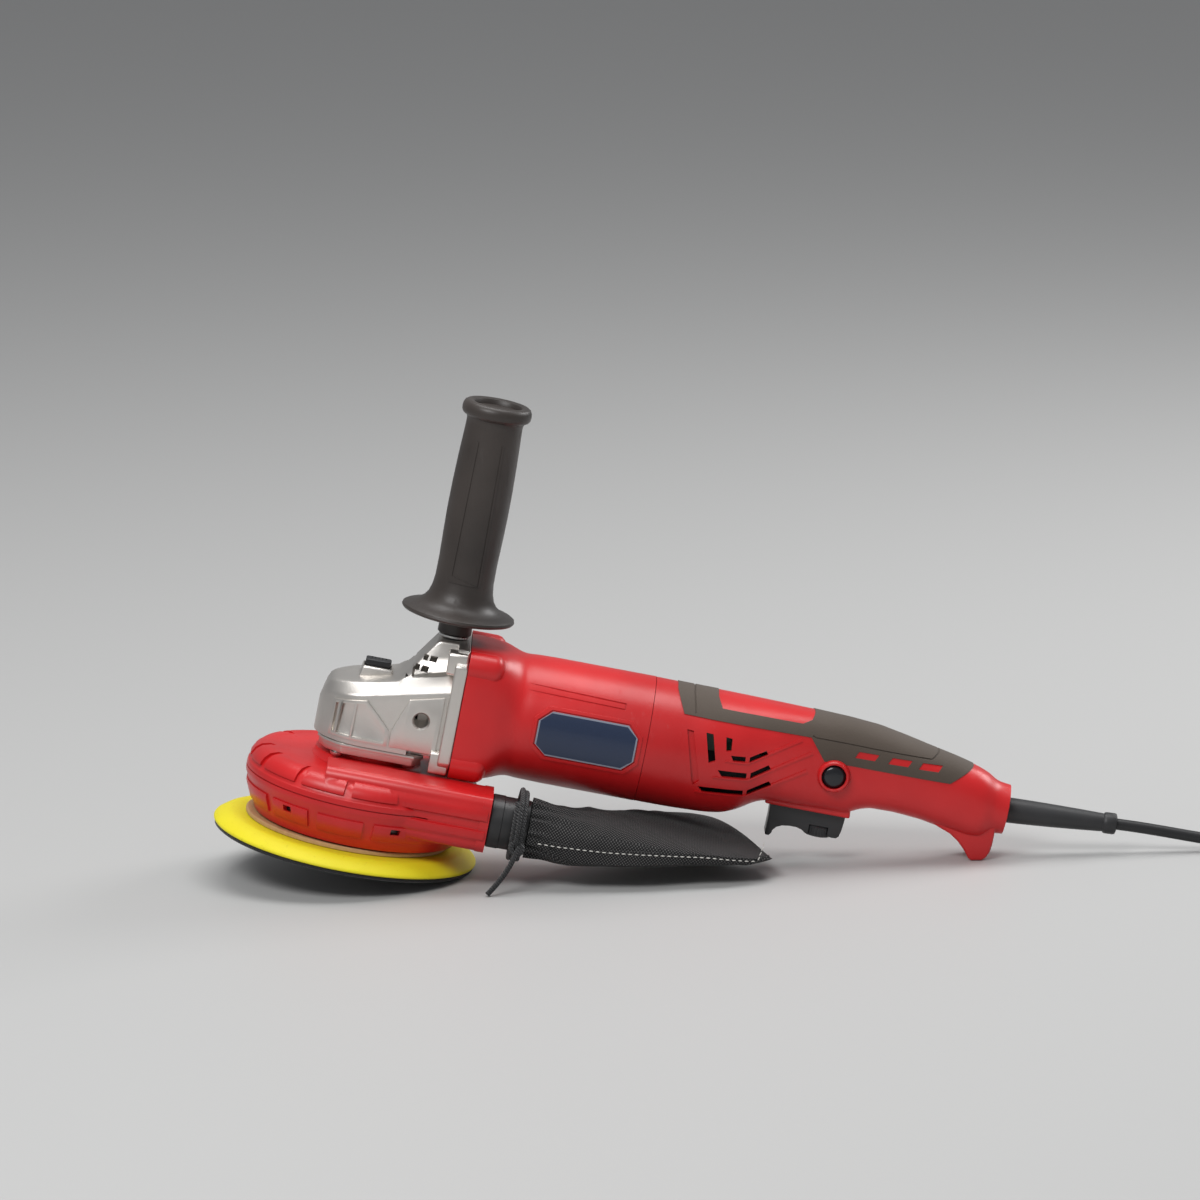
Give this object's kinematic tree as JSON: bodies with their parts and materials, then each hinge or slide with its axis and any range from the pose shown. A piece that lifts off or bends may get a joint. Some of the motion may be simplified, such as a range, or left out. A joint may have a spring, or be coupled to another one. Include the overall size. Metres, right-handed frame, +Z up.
{
  "type": "rotary polisher",
  "caption": "Electric orbital polisher with a bevelled pad under a dust shroud, cast gear housing, upright side handle, barrel motor, rear grip with trigger, dust bag and mains lead.",
  "frame": {"origin": "on the floor under the middle of the machine's box, measured without the cord's coil and plug", "axes": "+X from the pad towards the tail and the cord, +Y to the far side from the lock-on button, +Z up from the floor"},
  "size_m": [0.7118, 0.226, 0.2692],
  "materials": {
    "red_plastic": "satin moulded red plastic",
    "cast_aluminium": "shot blasted casting, lightly polished on its bevels",
    "grip_plastic": "fine textured dark moulded plastic",
    "black_plastic": "satin black plastic",
    "yellow_pad": "smooth yellow moulded foam",
    "hook_fabric": "black hook face",
    "tan_plate": "tan fibre plate",
    "steel": "machined steel",
    "zinc_screw": "zinc plated screws",
    "brass": "brass",
    "copper": "enamelled copper winding",
    "carbon": "carbon brush",
    "overmould_rubber": "matt grey brown soft grip",
    "bag_fabric": "black non-woven fabric",
    "string": "black braided cord",
    "label": "navy printed plate, without lettering",
    "board": "circuit board in resin",
    "cable_sheath": "black flexible sheath"
  },
  "bodies": {
    "machine": {"gear_housing": "cast_aluminium", "bearing_plate": "cast_aluminium", "lower_spindle_bearing": "steel", "upper_spindle_bush": "brass", "plate_screw_1": "zinc_screw", "plate_screw_2": "zinc_screw", "plate_screw_3": "zinc_screw", "plate_screw_4": "zinc_screw", "motor_screw_1": "zinc_screw", "motor_screw_2": "zinc_screw", "motor_screw_3": "zinc_screw", "motor_screw_4": "zinc_screw", "side_handle_washer": "steel", "side_handle_grip": "grip_plastic", "side_handle_stud": "steel", "shroud_lower": "red_plastic", "shroud_upper": "red_plastic", "dust_spigot": "black_plastic", "dust_bag": "bag_fabric", "drawstring": "string", "motor_housing": "red_plastic", "name_plate": "label", "front_bearing": "steel", "rear_bearing": "steel", "field_core": "steel", "field_coil_upper": "copper", "field_coil_lower": "copper", "brush_holder_left": "brass", "brush_holder_right": "brass", "brush_left": "carbon", "brush_right": "carbon", "handle_shell_left": "red_plastic", "handle_shell_right": "red_plastic", "grip_overmould": "overmould_rubber", "switch_body": "black_plastic", "speed_module": "board", "strain_relief": "cable_sheath", "cord_lead": "cable_sheath", "cord_coil": "cable_sheath", "plug_body": "black_plastic", "plug_pin_left": "brass", "plug_pin_right": "brass"},
    "spindle_group": {"spindle": "steel", "crown_gear": "steel", "eccentric_hub": "steel", "dust_fan": "black_plastic", "pad_bearing": "steel"},
    "pad_group": {"pad_stud": "steel", "pad_plate": "tan_plate", "backing_pad": "yellow_pad", "hook_face": "hook_fabric"},
    "armature_group": {"armature_shaft": "steel", "armature_core": "copper", "commutator": "copper", "pinion_gear": "steel", "cooling_fan": "black_plastic"},
    "trigger": {"trigger": "black_plastic"},
    "dial": {"speed_dial": "black_plastic"},
    "lock_on": {"lock_on_button": "black_plastic"},
    "spindle_lock": {"spindle_lock_button": "black_plastic"}
  },
  "joints": [
    {"name": "spindle_spin", "type": "hinge", "parent": "machine", "child": "spindle_group", "pos_m": [-0.16751, 0, 0.06364], "axis": [0.2119, 0, 0.9773], "continuous": true},
    {"name": "armature_spin", "type": "hinge", "parent": "machine", "child": "armature_group", "pos_m": [-0.0609, 0, 0.0834], "axis": [0.9773, 0, -0.2119], "continuous": true},
    {"name": "pad_spin", "type": "hinge", "parent": "spindle_group", "child": "pad_group", "pos_m": [-0.17989, 0, 0.02539], "axis": [0.2119, 0, 0.9773], "continuous": true},
    {"name": "trigger_pull", "type": "slide", "parent": "machine", "child": "trigger", "axis": [0.2119, 0, 0.9773], "range_m": [0, 0.006], "stiffness_N_per_m": 400, "springref_m": -0.004},
    {"name": "dial_turn", "type": "hinge", "parent": "trigger", "child": "dial", "pos_m": [0.08528, 0, 0.01906], "axis": [0.2119, 0, 0.9773], "range_deg": [0, 270]},
    {"name": "lock_on_press", "type": "slide", "parent": "machine", "child": "lock_on", "axis": [0, 1, 0], "range_m": [0, 0.003], "stiffness_N_per_m": 300, "springref_m": -0.002},
    {"name": "spindle_lock_press", "type": "slide", "parent": "machine", "child": "spindle_lock", "axis": [-0.2119, 0, -0.9773], "range_m": [0, 0.004], "stiffness_N_per_m": 300, "springref_m": -0.003}
  ],
  "couplings": [
    {"joint": "armature_spin", "follows": "spindle_spin", "ratio": 3.5}
  ]
}
